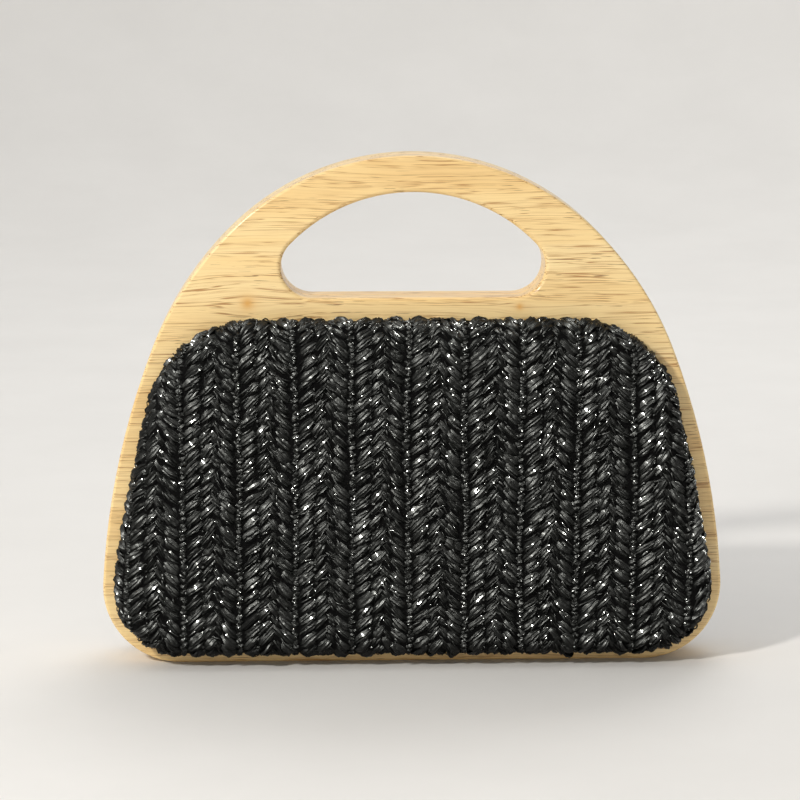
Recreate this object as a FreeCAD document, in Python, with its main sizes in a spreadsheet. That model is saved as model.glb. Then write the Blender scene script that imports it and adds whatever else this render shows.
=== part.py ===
# Clutch purse: two hinged wooden half-frames with a cut-out grip, each carrying a padded straw panel.
#
# Frame: +X to the right, -Y to the front, +Z up. The origin is at the bottom centre, on the parting
# plane between the two halves. Lengths are in millimetres. Each half is drawn once, as the front one,
# and the rear one is the same piece turned half a turn about Z.

import FreeCAD, Part
import math
import os

import Sketcher

V = FreeCAD.Vector

doc = FreeCAD.newDocument("clutch_purse")
sheet = doc.addObject("Spreadsheet::Sheet", "Sheet")

DIMENSIONS = {
    # Wooden half-frame: its outline is a chain of tangent arcs, from the crown down to the foot.
    "frame_height": 230.0,
    "crown_radius": 115.6,
    "crown_reach": 79.85,
    "shoulder_radius": 153.8,
    "flank_reach": 117.1,
    "side_radius": 352.3,
    "foot_radius": 34.8,
    "board_face": 12.0,
    "half_gap": 0.15,
    "face_rounding": 1.3,
    "grip_rounding": 2.2,
    "parting_rounding": 0.5,
    # Cut-out for the hand.
    "grip_top": 213.7,
    "grip_radius": 76.3,
    "grip_end_radius": 14.0,
    "grip_floor": 166.7,
    # Padded panel: a trapezium with rounded corners and slightly bowed sides.
    "panel_top": 158.85,
    "panel_top_reach": 70.4,
    "panel_shoulder_radius": 48.6,
    "panel_side_radius": 951.0,
    "panel_foot_radius": 31.3,
    "panel_floor": 5.3,
    "panel_floor_reach": 103.2,
    "window_inset": 9.0,
    # Layers of the panel, from the straw inwards.
    "cover_rise": 16.0,
    "cover_thickness": 2.5,
    "cover_edge": 9.0,
    "padding_thickness": 3.0,
    "shell_thickness": 2.0,
    "lining_thickness": 0.8,
    "layer_gap": 0.1,
    "lining_lip": 0.8,
    "lining_edge": 2.5,
    # Slip pocket on the rear lining.
    "pocket_width": 120.0,
    "pocket_height": 82.0,
    "pocket_floor": 32.0,
    "pocket_thickness": 0.8,
    # Butt hinges let into the bottom rail, on an axis along X.
    "hinge_offset": 62.0,
    "hinge_length": 24.0,
    "hinge_axis_height": 3.0,
    "knuckle_radius": 1.9,
    "knuckle_gap": 0.3,
    "recess_clearance": 0.4,
    "leaf_top": 13.0,
    "leaf_thickness": 0.8,
    "leaf_gap": 0.1,
    "pin_radius": 0.9,
    "pin_clearance": 0.05,
    "bottom_groove": 3.4,
    "screw_spread": 7.5,
    "screw_height": 9.2,
    "screw_radius": 0.9,
    "screw_head_radius": 1.7,
    "screw_head_depth": 0.7,
    "screw_length": 8.0,
    "screw_slot": 0.4,
    # Magnets let into the shoulders of the grip.
    "magnet_offset": 77.0,
    "magnet_height": 184.0,
    "magnet_radius": 5.0,
    "magnet_depth": 2.5,
    "magnet_clearance": 0.05,
    # Side gussets, folded inwards while the purse is shut.
    "gusset_bottom": 36.0,
    "gusset_top": 118.0,
    "gusset_bottom_reach": 122.0,
    "gusset_top_reach": 106.5,
    "gusset_bottom_fold": 11.0,
    "gusset_top_fold": 35.0,
    "gusset_half_width": 9.0,
    "gusset_thickness": 0.8,
}

for row, (alias, value) in enumerate(DIMENSIONS.items(), start=1):
    sheet.set(f"A{row}", alias)
    sheet.set(f"B{row}", str(value))
    sheet.setAlias(f"B{row}", alias)
doc.recompute()

FRONT, REAR = 0, 180
HALVES = {"front": FRONT, "rear": REAR}
SIDES = {"left": -1, "right": 1}
nodes = []


def size(alias):
    """A driving dimension as a plain number."""
    return float(sheet.get(alias))


def turned(angle):
    """A placement that turns a piece about Z, in degrees."""
    return FreeCAD.Placement(V(0, 0, 0), FreeCAD.Rotation(V(0, 0, 1), angle))


def new_body(label, angle=FRONT):
    """An empty body that becomes a node of its own."""
    body = doc.addObject("PartDesign::Body", label)
    body.Label = label
    body.Placement = turned(angle)
    nodes.append(body)
    return body


def sketch_on(body, role, name, offset):
    """A sketch on one of the body's own origin planes, moved along its normal by an expression."""
    plane = [o for o in body.Origin.OriginFeatures if o.Role == role][0]
    sketch = body.newObject("Sketcher::SketchObject", f"{body.Name}_{name}")
    sketch.AttachmentSupport = [(plane, "")]
    sketch.MapMode = "FlatFace"
    sketch.setExpression("AttachmentOffset.Base.z", offset)
    return sketch


def name_constraint(sketch, constraint, name, expression):
    """Add one constraint, name it and bind it to the sheet."""
    index = sketch.addConstraint(constraint)
    sketch.renameConstraint(index, name)
    sketch.setExpression(f"Constraints.{name}", expression)


# ---------------------------------------------------------------------------------------------
# Outlines. Each goes once round, counter-clockwise, and every joint is tangent.
# ---------------------------------------------------------------------------------------------


def arc(centre, radius, start, end):
    return Part.ArcOfCircle(Part.Circle(V(*centre, 0), V(0, 0, 1), radius), start, end)


def mirrored_arc(centre, radius, start, end):
    return arc((-centre[0], centre[1]), radius, math.pi - end, math.pi - start)


def add_chain(sketch, pieces):
    """Add a closed chain of lines and arcs with tangent joints."""
    for piece in pieces:
        sketch.addGeometry(piece, False)
    for i in range(len(pieces)):
        sketch.addConstraint(Sketcher.Constraint("Tangent", i, 2, (i + 1) % len(pieces), 1))


def centre_beyond(first, second, first_distance, second_distance):
    """The point left of two others at the given distances from them."""
    gap = math.dist(first, second)
    along = (first_distance**2 - second_distance**2 + gap**2) / (2 * gap)
    across = math.sqrt(first_distance**2 - along**2)
    ux, uz = (second[0] - first[0]) / gap, (second[1] - first[1]) / gap
    return (first[0] + along * ux + across * uz, first[1] + along * uz - across * ux)


def angle_to(centre, point):
    return math.atan2(point[1] - centre[1], point[0] - centre[0])


def draw_frame_outline(sketch):
    """The outside of the wood: bottom line, feet, sides, shoulders and crown."""
    crown_r, shoulder_r = size("crown_radius"), size("shoulder_radius")
    side_r, foot_r = size("side_radius"), size("foot_radius")
    crown = (0, size("frame_height") - crown_r)
    crown_end = math.acos(size("crown_reach") / crown_r)
    step = crown_r - shoulder_r
    shoulder = (crown[0] + step * math.cos(crown_end), crown[1] + step * math.sin(crown_end))
    shoulder_end = math.acos((size("flank_reach") - shoulder[0]) / shoulder_r)
    step = shoulder_r - side_r
    side = (shoulder[0] + step * math.cos(shoulder_end), shoulder[1] + step * math.sin(shoulder_end))
    foot = (side[0] + math.sqrt((side_r - foot_r) ** 2 - (foot_r - side[1]) ** 2), foot_r)
    side_end = angle_to(side, foot)
    right = [
        (foot, foot_r, -math.pi / 2, side_end),
        (side, side_r, side_end, shoulder_end),
        (shoulder, shoulder_r, shoulder_end, crown_end),
    ]
    bottom = Part.LineSegment(V(-foot[0], 0, 0), V(foot[0], 0, 0))
    top = arc(crown, crown_r, crown_end, math.pi - crown_end)
    add_chain(sketch, [bottom, *(arc(*a) for a in right), top, *(mirrored_arc(*a) for a in right[::-1])])
    for index, name in enumerate(("foot", "side", "shoulder", "crown"), 1):
        radius = Sketcher.Constraint("Radius", index, size(f"{name}_radius"))
        name_constraint(sketch, radius, name, f"Sheet.{name}_radius")
    for right_arc, left_arc in ((1, 7), (2, 6), (3, 5)):
        sketch.addConstraint(Sketcher.Constraint("Equal", right_arc, left_arc))
    sketch.addConstraint(Sketcher.Constraint("Symmetric", 0, 1, 0, 2, -2))
    sketch.addConstraint(Sketcher.Constraint("Symmetric", 4, 1, 4, 2, -2))
    sketch.addConstraint(Sketcher.Constraint("PointOnObject", 0, 2, -1))
    name_constraint(
        sketch,
        Sketcher.Constraint("DistanceY", -1, 1, 4, 3, crown[1]),
        "crown_centre",
        "Sheet.frame_height - Sheet.crown_radius",
    )
    for index, name in ((4, "crown_reach"), (3, "flank_reach")):
        reach = Sketcher.Constraint("DistanceX", -1, 1, index, 1, size(name))
        name_constraint(sketch, reach, name, f"Sheet.{name}")


def draw_grip_outline(sketch):
    """The cut-out for the hand: a flat floor, two round ends and an arched top."""
    top_r, end_r = size("grip_radius"), size("grip_end_radius")
    top = (0, size("grip_top") - top_r)
    floor = size("grip_floor")
    end = (math.sqrt((top_r - end_r) ** 2 - (floor + end_r - top[1]) ** 2), floor + end_r)
    joint = angle_to(top, end)
    bottom = Part.LineSegment(V(-end[0], floor, 0), V(end[0], floor, 0))
    right = (end, end_r, -math.pi / 2, joint)
    add_chain(sketch, [bottom, arc(*right), arc(top, top_r, joint, math.pi - joint), mirrored_arc(*right)])
    name_constraint(sketch, Sketcher.Constraint("Radius", 1, end_r), "end", "Sheet.grip_end_radius")
    name_constraint(sketch, Sketcher.Constraint("Radius", 2, top_r), "top", "Sheet.grip_radius")
    sketch.addConstraint(Sketcher.Constraint("Equal", 1, 3))
    sketch.addConstraint(Sketcher.Constraint("Symmetric", 2, 1, 2, 2, -2))
    name_constraint(
        sketch,
        Sketcher.Constraint("DistanceY", -1, 1, 2, 3, top[1]),
        "top_centre",
        "Sheet.grip_top - Sheet.grip_radius",
    )
    height = Sketcher.Constraint("DistanceY", -1, 1, 0, 2, floor)
    name_constraint(sketch, height, "floor", "Sheet.grip_floor")


def draw_panel_outline(sketch, inset):
    """The panel's outline moved inwards by an expression; the arcs keep their centres."""
    inwards = float(sketch.evalExpression(inset))
    shoulder_r = size("panel_shoulder_radius")
    side_r, foot_r = size("panel_side_radius"), size("panel_foot_radius")
    top, floor = size("panel_top") - inwards, size("panel_floor") + inwards
    shoulder = (size("panel_top_reach"), size("panel_top") - shoulder_r)
    foot = (size("panel_floor_reach"), size("panel_floor") + foot_r)
    side = centre_beyond(foot, shoulder, side_r - foot_r, side_r - shoulder_r)
    side = min(side, centre_beyond(shoulder, foot, side_r - shoulder_r, side_r - foot_r))
    side_end, side_start = angle_to(side, shoulder), angle_to(side, foot)
    right = [
        (foot, foot_r - inwards, -math.pi / 2, side_start),
        (side, side_r - inwards, side_start, side_end),
        (shoulder, shoulder_r - inwards, side_end, math.pi / 2),
    ]
    bottom = Part.LineSegment(V(-foot[0], floor, 0), V(foot[0], floor, 0))
    head = Part.LineSegment(V(shoulder[0], top, 0), V(-shoulder[0], top, 0))
    add_chain(sketch, [bottom, *(arc(*a) for a in right), head, *(mirrored_arc(*a) for a in right[::-1])])
    for index, name in ((1, "foot"), (2, "side"), (3, "shoulder")):
        radius = right[index - 1][1]
        expression = f"Sheet.panel_{name}_radius - ({inset})"
        name_constraint(sketch, Sketcher.Constraint("Radius", index, radius), name, expression)
    for right_arc, left_arc in ((1, 7), (2, 6), (3, 5)):
        sketch.addConstraint(Sketcher.Constraint("Equal", right_arc, left_arc))
    sketch.addConstraint(Sketcher.Constraint("Symmetric", 0, 1, 0, 2, -2))
    sketch.addConstraint(Sketcher.Constraint("Symmetric", 4, 1, 4, 2, -2))
    for line, point, alias, height, move in ((0, 2, "floor", floor, "+"), (4, 1, "top", top, "-")):
        reach = Sketcher.Constraint("DistanceX", -1, 1, line, point, size(f"panel_{alias}_reach"))
        name_constraint(sketch, reach, f"{alias}_reach", f"Sheet.panel_{alias}_reach")
        level = Sketcher.Constraint("DistanceY", -1, 1, line, point, height)
        name_constraint(sketch, level, alias, f"Sheet.panel_{alias} {move} ({inset})")


def draw_polygon(sketch, corners):
    """A closed polygon whose corners are pairs of expressions; "0" puts a corner on an axis."""
    points = [V(*(float(sketch.evalExpression(e)) for e in corner), 0) for corner in corners]
    for i, point in enumerate(points):
        sketch.addGeometry(Part.LineSegment(point, points[(i + 1) % len(points)]), False)
    for i in range(len(points)):
        sketch.addConstraint(Sketcher.Constraint("Coincident", i, 2, (i + 1) % len(points), 1))
    for i, (corner, point) in enumerate(zip(corners, points)):
        for kind, axis, expression, value in (("X", -2, corner[0], point.x), ("Y", -1, corner[1], point.y)):
            if expression == "0":
                sketch.addConstraint(Sketcher.Constraint("PointOnObject", i, 1, axis))
            else:
                distance = Sketcher.Constraint(f"Distance{kind}", -1, 1, i, 1, value)
                name_constraint(sketch, distance, f"corner{i}{kind}", expression)


# ---------------------------------------------------------------------------------------------
# Features.
# ---------------------------------------------------------------------------------------------


def extrude(body, sketch, length):
    """A Pad of the sketch along its normal."""
    pad = body.newObject("PartDesign::Pad", f"{sketch.Name}_pad")
    pad.Profile = sketch
    pad.setExpression("Length", length)
    sketch.Visibility = False
    doc.recompute()
    return pad


def cut(body, sketch, length=None, both_ways=False):
    """A Pocket of the sketch along its normal, or through all; it has to take something away."""
    before = body.Shape.Volume
    pocket = body.newObject("PartDesign::Pocket", f"{sketch.Name}_pocket")
    pocket.Profile = sketch
    pocket.Reversed = True
    if length is None:
        pocket.Type = "ThroughAll"
        pocket.Midplane = both_ways
    else:
        pocket.setExpression("Length", length)
    doc.recompute()
    if not body.Shape.Volume < before - 1e-3:
        raise RuntimeError(f"{pocket.Name} cuts nothing")
    return pocket


def round_edges(body, feature, level, radius, grip_only=False):
    """Round each edge of a feature that lies flat at the given Y, or only those of the grip."""
    reach, low, high = size("panel_top_reach"), size("grip_floor") - 1, size("grip_top") + 1

    def chosen(edge):
        box = edge.BoundBox
        flat = abs(box.YMin - level) < 1e-4 and abs(box.YMax - level) < 1e-4
        on_grip = max(-box.XMin, box.XMax) < reach and box.ZMin > low and box.ZMax < high
        return flat and (on_grip or not grip_only)

    names = [f"Edge{i}" for i, edge in enumerate(feature.Shape.Edges, 1) if chosen(edge)]
    fillet = body.newObject("PartDesign::Fillet", f"{feature.Name}_round")
    fillet.Base = (feature, names)
    fillet.setExpression("Radius", radius)
    doc.recompute()
    return fillet


def primitive(body, kind, name, sizes, position, rotation=None):
    """An additive or subtractive primitive with its sizes and position bound to the sheet."""
    before = body.Shape.Volume if body.Tip else 0.0
    piece = body.newObject(f"PartDesign::{kind}", f"{body.Label}_{name}")
    for key, expression in sizes.items():
        piece.setExpression(key, expression)
    if rotation is not None:
        piece.AttachmentOffset = FreeCAD.Placement(V(0, 0, 0), rotation)
        piece.Placement = FreeCAD.Placement(V(0, 0, 0), rotation)
    for key, expression in zip("xyz", position):
        piece.setExpression(f"Placement.Base.{key}", expression)
    doc.recompute()
    if abs(body.Shape.Volume - before) < 1e-3:
        raise RuntimeError(f"{piece.Name} changes nothing")
    return piece


ALONG_X = FreeCAD.Rotation(V(0, 1, 0), 90)
ALONG_FRONT = FreeCAD.Rotation(V(1, 0, 0), 90)


# ---------------------------------------------------------------------------------------------
# Wooden half-frame: one board with the grip and the panel's window cut through it.
# ---------------------------------------------------------------------------------------------


def wood_frame(half, angle):
    body = new_body(f"{half}_wood_frame", angle)
    outline = sketch_on(body, "XZ_Plane", "outline", "Sheet.half_gap")
    draw_frame_outline(outline)
    extrude(body, outline, "Sheet.board_face - Sheet.half_gap")
    board = body.Tip
    face, parting = -size("board_face"), -size("half_gap")
    rounded = round_edges(body, board, face, "Sheet.face_rounding")
    rounded = round_edges(body, rounded, parting, "Sheet.parting_rounding")

    grip = sketch_on(body, "XZ_Plane", "grip", "0")
    draw_grip_outline(grip)
    opened = cut(body, grip)
    grip_edges = round_edges(body, opened, face, "Sheet.grip_rounding", grip_only=True)
    round_edges(body, grip_edges, parting, "Sheet.parting_rounding", grip_only=True)

    window = sketch_on(body, "XZ_Plane", "window", "0")
    draw_panel_outline(window, "Sheet.window_inset")
    cut(body, window)

    groove = sketch_on(body, "YZ_Plane", "groove", "0")
    draw_polygon(groove, [("0", "0"), ("0", "Sheet.bottom_groove"), ("-Sheet.bottom_groove", "0")])
    cut(body, groove, both_ways=True)

    hinge_start = "Sheet.hinge_length / 2 + Sheet.recess_clearance"
    for side, sign in SIDES.items():
        middle = f"({sign}) * Sheet.hinge_offset"
        primitive(
            body,
            "SubtractiveCylinder",
            f"{side}_knuckle_recess",
            {
                "Radius": "Sheet.knuckle_radius + Sheet.recess_clearance",
                "Height": f"2 * ({hinge_start})",
            },
            (f"{middle} - ({hinge_start})", "0", "Sheet.hinge_axis_height"),
            ALONG_X,
        )
        primitive(
            body,
            "SubtractiveBox",
            f"{side}_leaf_recess",
            {
                "Length": "Sheet.hinge_length + 2 * Sheet.layer_gap",
                "Width": "Sheet.leaf_gap + Sheet.leaf_thickness + Sheet.layer_gap",
                "Height": "Sheet.leaf_top + Sheet.layer_gap - Sheet.hinge_axis_height",
            },
            (
                f"{middle} - Sheet.hinge_length / 2 - Sheet.layer_gap",
                "-Sheet.leaf_gap - Sheet.leaf_thickness - Sheet.layer_gap",
                "Sheet.hinge_axis_height",
            ),
        )
        for end, spread in (("outer", sign), ("inner", -sign)):
            primitive(
                body,
                "SubtractiveCylinder",
                f"{side}_{end}_screw_hole",
                {"Radius": "Sheet.screw_radius", "Height": "Sheet.screw_length + Sheet.layer_gap"},
                (f"{middle} + ({spread}) * Sheet.screw_spread", "0", "Sheet.screw_height"),
                ALONG_FRONT,
            )
        primitive(
            body,
            "SubtractiveCylinder",
            f"{side}_magnet_hole",
            {
                "Radius": "Sheet.magnet_radius + Sheet.magnet_clearance",
                "Height": "Sheet.half_gap + Sheet.magnet_depth + Sheet.magnet_clearance",
            },
            (f"({sign}) * Sheet.magnet_offset", "0", "Sheet.magnet_height"),
            ALONG_FRONT,
        )


# ---------------------------------------------------------------------------------------------
# Layers of the panel: open trays nested in one another on the wood's outer face.
# ---------------------------------------------------------------------------------------------


def rounded_block(name, start, inset, rise, edge):
    """A block with the panel's outline and a rounded front edge, used to build a tray."""
    body = doc.addObject("PartDesign::Body", name)
    outline = sketch_on(body, "XZ_Plane", "outline", start)
    draw_panel_outline(outline, inset)
    block = extrude(body, outline, rise)
    round_edges(body, block, -float(sheet.evalExpression(f"({start}) + ({rise})")), edge)
    return body


def tray(label, angle, start, inset, thickness, rise, edge):
    """A tray with a rounded front edge, whose mouth faces the parting plane."""
    whole = doc.addObject("Part::Cut", label)
    whole.Label = label
    whole.Base = rounded_block(f"{label}_outside", start, inset, rise, edge)
    inner = (f"{inset} + {thickness}", f"{rise} - {thickness}", f"{edge} - {thickness}")
    whole.Tool = rounded_block(f"{label}_inside", start, *inner)
    whole.Placement = turned(angle)
    nodes.append(whole)


def panel_layers(half, angle):
    face = "Sheet.board_face"
    inset, rise, edge = "0", "Sheet.cover_rise", "Sheet.cover_edge"
    for layer, thickness in (
        ("straw_cover", "Sheet.cover_thickness"),
        ("padding", "Sheet.padding_thickness"),
        ("shell", "Sheet.shell_thickness"),
    ):
        tray(f"{half}_{layer}", angle, face, inset, thickness, rise, edge)
        inset = f"{inset} + {thickness} + Sheet.layer_gap"
        rise = f"{rise} - {thickness} - Sheet.layer_gap"
        edge = f"{edge} - {thickness} - Sheet.layer_gap"
    tray(
        f"{half}_lining",
        angle,
        "Sheet.lining_lip",
        "Sheet.window_inset + Sheet.layer_gap",
        "Sheet.lining_thickness",
        f"{face} - Sheet.lining_lip + {rise}",
        "Sheet.lining_edge",
    )


# The cover, padding, shell, lining and pocket lie one on another with a gap at each meeting.
GAPS_UNDER_POCKET = 4


def slip_pocket():
    """A flat pocket stitched to the rear lining."""
    body = new_body("slip_pocket", REAR)
    primitive(
        body,
        "AdditiveBox",
        "panel",
        {"Length": "Sheet.pocket_width", "Width": "Sheet.pocket_thickness", "Height": "Sheet.pocket_height"},
        (
            "-Sheet.pocket_width / 2",
            "-Sheet.board_face - Sheet.cover_rise + Sheet.cover_thickness + Sheet.padding_thickness"
            " + Sheet.shell_thickness + Sheet.lining_thickness"
            f" + {GAPS_UNDER_POCKET} * Sheet.layer_gap",
            "Sheet.pocket_floor",
        ),
    )


# ---------------------------------------------------------------------------------------------
# Hinges: a rear leaf with the two outer knuckles, a front leaf with the middle one, and a pin.
# ---------------------------------------------------------------------------------------------

KNUCKLE = "(Sheet.hinge_length - 2 * Sheet.knuckle_gap) / 3"
KNUCKLE_STEP = f"({KNUCKLE} + Sheet.knuckle_gap)"


def hinge_leaf(side, half, own_knuckles, bore):
    """One leaf, lying against its half's parting face; bore is the pin hole's radius."""
    body = new_body(f"{side}_hinge_{half}_leaf")
    start = f"({SIDES[side]}) * Sheet.hinge_offset - Sheet.hinge_length / 2"
    near = "Sheet.leaf_gap" if half == "rear" else "-Sheet.leaf_gap - Sheet.leaf_thickness"
    primitive(
        body,
        "AdditiveBox",
        "plate",
        {
            "Length": "Sheet.hinge_length",
            "Width": "Sheet.leaf_thickness",
            "Height": "Sheet.leaf_top - Sheet.hinge_axis_height",
        },
        (start, near, "Sheet.hinge_axis_height"),
    )
    for place in range(3):
        if place in own_knuckles:
            continue
        primitive(
            body,
            "SubtractiveBox",
            f"notch{place}",
            {
                "Length": f"{KNUCKLE} + 2 * Sheet.knuckle_gap",
                "Width": "Sheet.leaf_thickness",
                "Height": "Sheet.knuckle_radius + Sheet.knuckle_gap",
            },
            (
                f"{start} + {place} * {KNUCKLE_STEP} - Sheet.knuckle_gap",
                near,
                "Sheet.hinge_axis_height",
            ),
        )
    for place in own_knuckles:
        primitive(
            body,
            "AdditiveCylinder",
            f"knuckle{place}",
            {"Radius": "Sheet.knuckle_radius", "Height": KNUCKLE},
            (f"{start} + {place} * {KNUCKLE_STEP}", "0", "Sheet.hinge_axis_height"),
            ALONG_X,
        )
    primitive(
        body,
        "SubtractiveCylinder",
        "bore",
        {"Radius": bore, "Height": "Sheet.hinge_length"},
        (start, "0", "Sheet.hinge_axis_height"),
        ALONG_X,
    )
    head = -90 if half == "rear" else 90
    for place, sign in (("left", -1), ("right", 1)):
        primitive(
            body,
            "SubtractiveCone",
            f"{place}_countersink",
            {
                "Radius1": "Sheet.screw_head_radius + Sheet.layer_gap / 2",
                "Radius2": "Sheet.screw_radius + Sheet.layer_gap / 2",
                "Height": "Sheet.leaf_thickness",
            },
            (
                f"({SIDES[side]}) * Sheet.hinge_offset + ({sign}) * Sheet.screw_spread",
                "Sheet.leaf_gap" if half == "rear" else "-Sheet.leaf_gap",
                "Sheet.screw_height",
            ),
            FreeCAD.Rotation(V(1, 0, 0), head),
        )


def hinge_pin(side):
    body = new_body(f"{side}_hinge_pin")
    primitive(
        body,
        "AdditiveCylinder",
        "pin",
        {"Radius": "Sheet.pin_radius", "Height": "Sheet.hinge_length"},
        (
            f"({SIDES[side]}) * Sheet.hinge_offset - Sheet.hinge_length / 2",
            "0",
            "Sheet.hinge_axis_height",
        ),
        ALONG_X,
    )


# ---------------------------------------------------------------------------------------------
# Groups of identical small pieces: countersunk screws and disc magnets.
# ---------------------------------------------------------------------------------------------


def part_object(kind, name, sizes, position, rotation):
    """A Part primitive with its sizes and position bound to the sheet."""
    piece = doc.addObject(kind, name)
    for key, expression in sizes.items():
        piece.setExpression(key, expression)
    piece.Placement = FreeCAD.Placement(V(0, 0, 0), rotation)
    for key, expression in zip("xyz", position):
        piece.setExpression(f"Placement.Base.{key}", expression)
    return piece


def screw(name, x):
    """A countersunk wood screw with a single slot, its head at the leaf and its tip to the front."""
    at = (x, "-Sheet.leaf_gap - Sheet.layer_gap / 2", "Sheet.screw_height")
    head = part_object(
        "Part::Cone",
        f"{name}_head",
        {
            "Radius1": "Sheet.screw_head_radius",
            "Radius2": "Sheet.screw_radius - Sheet.layer_gap / 2",
            "Height": "Sheet.screw_head_depth",
        },
        at,
        ALONG_FRONT,
    )
    shank = part_object(
        "Part::Cylinder",
        f"{name}_shank",
        {
            "Radius": "Sheet.screw_radius - Sheet.layer_gap / 2",
            "Height": "Sheet.screw_length - Sheet.half_gap",
        },
        at,
        ALONG_FRONT,
    )
    slot = part_object(
        "Part::Box",
        f"{name}_slot",
        {"Length": "2 * Sheet.screw_head_radius", "Width": "Sheet.screw_slot", "Height": "Sheet.screw_slot"},
        (f"{x} - Sheet.screw_head_radius", at[1], "Sheet.screw_height - Sheet.screw_slot / 2"),
        FreeCAD.Rotation(V(1, 0, 0), 90),
    )
    whole = doc.addObject("Part::Fuse", f"{name}_whole")
    whole.Base, whole.Tool = head, shank
    slotted = doc.addObject("Part::Cut", name)
    slotted.Base, slotted.Tool = whole, slot
    return slotted


def group(label, pieces, angle):
    """Separate solids that share one node."""
    compound = doc.addObject("Part::Compound", label)
    compound.Label = label
    compound.Links = pieces
    compound.Placement = turned(angle)
    nodes.append(compound)


def hinge_screws(half, angle):
    pieces = []
    for side, sign in SIDES.items():
        for end, spread in (("outer", sign), ("inner", -sign)):
            x = f"({sign}) * Sheet.hinge_offset + ({spread}) * Sheet.screw_spread"
            pieces.append(screw(f"{half}_{side}_{end}_screw", x))
    group(f"{half}_hinge_screws", pieces, angle)


def magnets(half, angle):
    pieces = [
        part_object(
            "Part::Cylinder",
            f"{half}_{side}_magnet",
            {"Radius": "Sheet.magnet_radius", "Height": "Sheet.magnet_depth"},
            (f"({sign}) * Sheet.magnet_offset", "-Sheet.half_gap", "Sheet.magnet_height"),
            ALONG_FRONT,
        )
        for side, sign in SIDES.items()
    ]
    group(f"{half}_magnets", pieces, angle)


# ---------------------------------------------------------------------------------------------
# Side gussets: a cloth triangle folded inwards along its middle, wider towards the top.
# ---------------------------------------------------------------------------------------------


def gusset(side, angle):
    body = new_body(f"{side}_gusset", angle)
    sections = []
    for level in ("bottom", "top"):
        reach = f"Sheet.gusset_{level}_reach"
        fold = f"{reach} - Sheet.gusset_{level}_fold"
        edge, thickness = "Sheet.gusset_half_width", "Sheet.gusset_thickness"
        section = sketch_on(body, "XY_Plane", level, f"Sheet.gusset_{level}")
        draw_polygon(
            section,
            [
                (reach, f"-{edge}"),
                (reach, f"-{edge} + {thickness}"),
                (f"{fold} + 2 * {thickness}", "0"),
                (reach, f"{edge} - {thickness}"),
                (reach, edge),
                (fold, "0"),
            ],
        )
        sections.append(section)
    loft = body.newObject("PartDesign::AdditiveLoft", f"{body.Label}_loft")
    loft.Profile = sections[0]
    loft.Sections = [sections[1]]
    loft.Ruled = True
    doc.recompute()


for half, angle in HALVES.items():
    wood_frame(half, angle)
    panel_layers(half, angle)
    magnets(half, angle)
    hinge_screws(half, angle)
slip_pocket()
for side in SIDES:
    hinge_leaf(side, "rear", (0, 2), "Sheet.pin_radius")
    hinge_leaf(side, "front", (1,), "Sheet.pin_radius + Sheet.pin_clearance")
    hinge_pin(side)
gusset("right", FRONT)
gusset("left", REAR)
doc.recompute()

for item in doc.Objects:
    if "Invalid" in item.State or "Error" in item.State:
        raise RuntimeError(f"{item.Name} failed: {item.State}")
for node in nodes:
    if node.Shape.isNull() or not node.Shape.isValid():
        raise RuntimeError(f"{node.Label} has no valid shape")

os.makedirs("parts", exist_ok=True)
for node in nodes:
    node.Shape.exportStep(f"parts/{node.Label}.step")
    box = node.Shape.BoundBox
    print(
        f"{node.Label}: {len(node.Shape.Solids)} solid(s), {node.Shape.Volume / 1000:.2f} cm3, "
        f"x {box.XMin:.1f}..{box.XMax:.1f}, y {box.YMin:.1f}..{box.YMax:.1f}, "
        f"z {box.ZMin:.1f}..{box.ZMax:.1f}"
    )
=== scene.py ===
import math

import bpy
import numpy as np
from mathutils import Matrix, Vector


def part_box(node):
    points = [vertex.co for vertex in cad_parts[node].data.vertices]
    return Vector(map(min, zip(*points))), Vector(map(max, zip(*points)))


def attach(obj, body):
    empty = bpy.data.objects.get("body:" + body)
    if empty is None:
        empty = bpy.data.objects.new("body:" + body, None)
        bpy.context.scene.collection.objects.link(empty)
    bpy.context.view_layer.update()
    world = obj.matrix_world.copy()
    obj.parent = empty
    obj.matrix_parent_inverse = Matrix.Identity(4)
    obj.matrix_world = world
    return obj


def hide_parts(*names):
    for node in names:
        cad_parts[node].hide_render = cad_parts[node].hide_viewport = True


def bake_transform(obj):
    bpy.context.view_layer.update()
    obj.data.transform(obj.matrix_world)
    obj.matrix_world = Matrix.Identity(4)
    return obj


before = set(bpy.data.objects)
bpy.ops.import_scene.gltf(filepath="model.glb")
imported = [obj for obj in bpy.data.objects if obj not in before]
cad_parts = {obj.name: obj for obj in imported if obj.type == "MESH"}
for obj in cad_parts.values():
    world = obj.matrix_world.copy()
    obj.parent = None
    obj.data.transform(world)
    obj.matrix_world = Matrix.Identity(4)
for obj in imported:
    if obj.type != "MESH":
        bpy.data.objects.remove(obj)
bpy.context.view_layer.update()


# ---------------------------------------------------------------------------------------------
# Camera: a long portrait lens a little left of the middle and above the purse, looking slightly
# down at its front.
# ---------------------------------------------------------------------------------------------
camera_data = bpy.data.cameras.new("camera")
camera_data.lens = 126.0
camera_data.sensor_width = 36.0
camera = bpy.data.objects.new("camera", camera_data)
camera.location = (-0.0466, -1.2457, 0.3411)
camera.rotation_euler = (math.radians(90 - 10.13), 0, math.radians(-1.89))
bpy.context.scene.collection.objects.link(camera)
bpy.context.scene.camera = camera


# ---------------------------------------------------------------------------------------------
# Wooden half-frames: one board each of pale, straight-grained hardwood, cut to shape, rounded on
# its edges and sprayed with clear satin lacquer. The grain runs across the purse.
# ---------------------------------------------------------------------------------------------
def new_material(name):
    """A material with an empty graph apart from its shader and output."""
    material = bpy.data.materials.new(name)
    material.use_nodes = True
    tree = material.node_tree
    return material, tree, tree.nodes["Principled BSDF"]


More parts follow.
